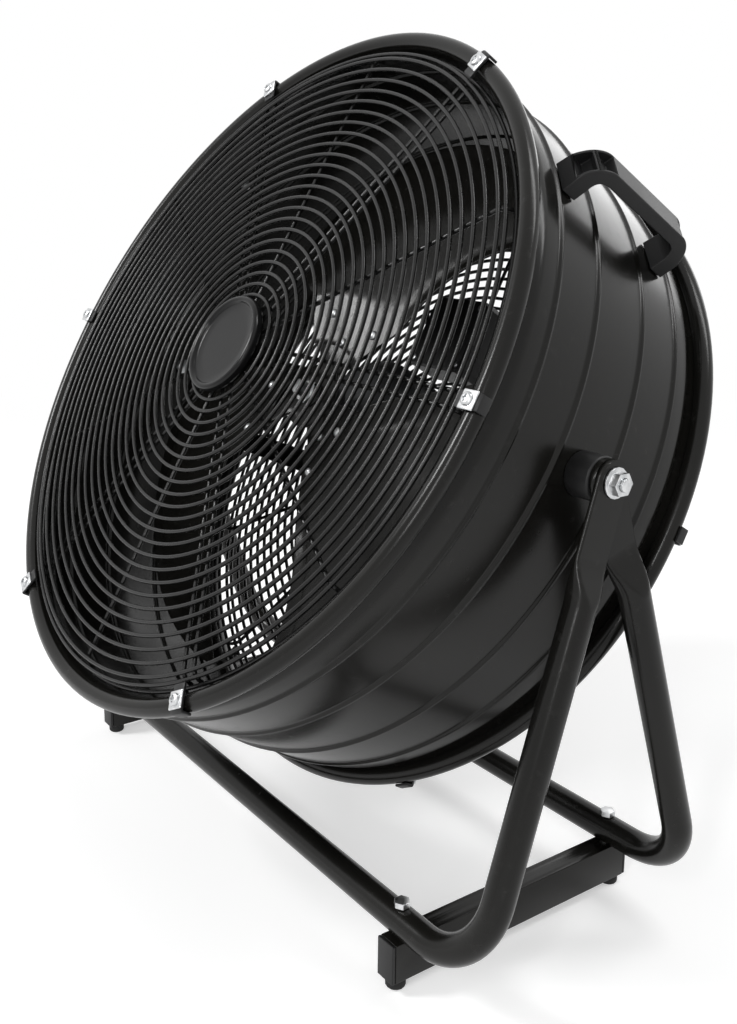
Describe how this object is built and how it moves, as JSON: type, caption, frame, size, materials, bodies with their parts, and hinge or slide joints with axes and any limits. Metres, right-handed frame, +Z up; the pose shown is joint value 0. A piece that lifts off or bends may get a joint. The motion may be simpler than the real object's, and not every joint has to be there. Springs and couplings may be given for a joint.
{
  "type": "drum fan",
  "caption": "Floor-standing drum fan: beaded steel drum with wire guards and swept blades, tilting on pivot bolts in a stand of two bent tubes on skids.",
  "frame": {"origin": "on the floor, under the middle of the pivot axis", "axes": "+X along the pivot axis, to the right seen from the front; the front of the drum faces -Y and up; +Z is up"},
  "size_m": [0.741, 0.559, 0.7674],
  "materials": {
    "black_paint": "semi-gloss black powder coat",
    "black_wire": "satin black coated wire",
    "black_plastic": "matt black moulded plastic",
    "black_rubber": "matt black rubber",
    "zinc": "bright zinc plate",
    "motor_grey": "dark grey painted casting"
  },
  "bodies": {
    "stand": {"front_stand_tube": "black_paint", "rear_stand_tube": "black_paint", "skid_left": "black_paint", "skid_right": "black_paint", "skid_cap_front_left": "black_plastic", "skid_cap_front_right": "black_plastic", "skid_cap_rear_left": "black_plastic", "skid_cap_rear_right": "black_plastic", "foot_front_left": "black_rubber", "foot_front_right": "black_rubber", "foot_rear_left": "black_rubber", "foot_rear_right": "black_rubber", "skid_bolt_front_left": "zinc", "skid_bolt_front_right": "zinc", "skid_bolt_rear_left": "zinc", "skid_bolt_rear_right": "zinc"},
    "drum": {"drum_shell": "black_paint", "motor_strap_upper": "black_paint", "motor_strap_lower": "black_paint", "motor_rear_cover": "black_paint", "front_guard": "black_wire", "rear_guard": "black_wire", "front_centre_cap": "black_plastic", "handle_left": "black_plastic", "handle_right": "black_plastic", "pivot_bush_left": "black_plastic", "pivot_bush_right": "black_plastic", "control_box": "black_plastic", "pivot_bolt_left": "zinc", "pivot_bolt_right": "zinc", "pivot_nut_left": "zinc", "pivot_nut_right": "zinc", "motor_body": "motor_grey", "front_clip_1": "zinc", "front_clip_2": "zinc", "front_clip_3": "zinc", "front_clip_4": "zinc", "front_clip_5": "zinc", "front_clip_6": "zinc", "rear_clip_1": "zinc", "rear_clip_2": "zinc", "rear_clip_3": "zinc", "rear_clip_4": "zinc", "rear_clip_5": "zinc", "rear_clip_6": "zinc"},
    "rotor": {"rotor_spider": "black_paint", "blade_1": "black_paint", "blade_2": "black_paint", "blade_3": "black_paint", "rotor_hub": "motor_grey", "rotor_shaft": "zinc", "rotor_nut": "zinc"},
    "knob": {"speed_knob": "black_plastic"}
  },
  "joints": [
    {"name": "drum_tilt", "type": "hinge", "parent": "stand", "child": "drum", "pos_m": [0, 0, 0.41653], "axis": [1, 0, 0], "range_deg": [-59.5, 120.5]},
    {"name": "fan_spin", "type": "hinge", "parent": "drum", "child": "rotor", "pos_m": [0, 0, 0.41653], "axis": [0, -0.8616, 0.5075], "continuous": true},
    {"name": "speed_knob_turn", "type": "hinge", "parent": "drum", "child": "knob", "pos_m": [0.01881, 0.18449, 0.4539], "axis": [0, -0.8616, 0.5075], "range_deg": [0, 135]}
  ]
}
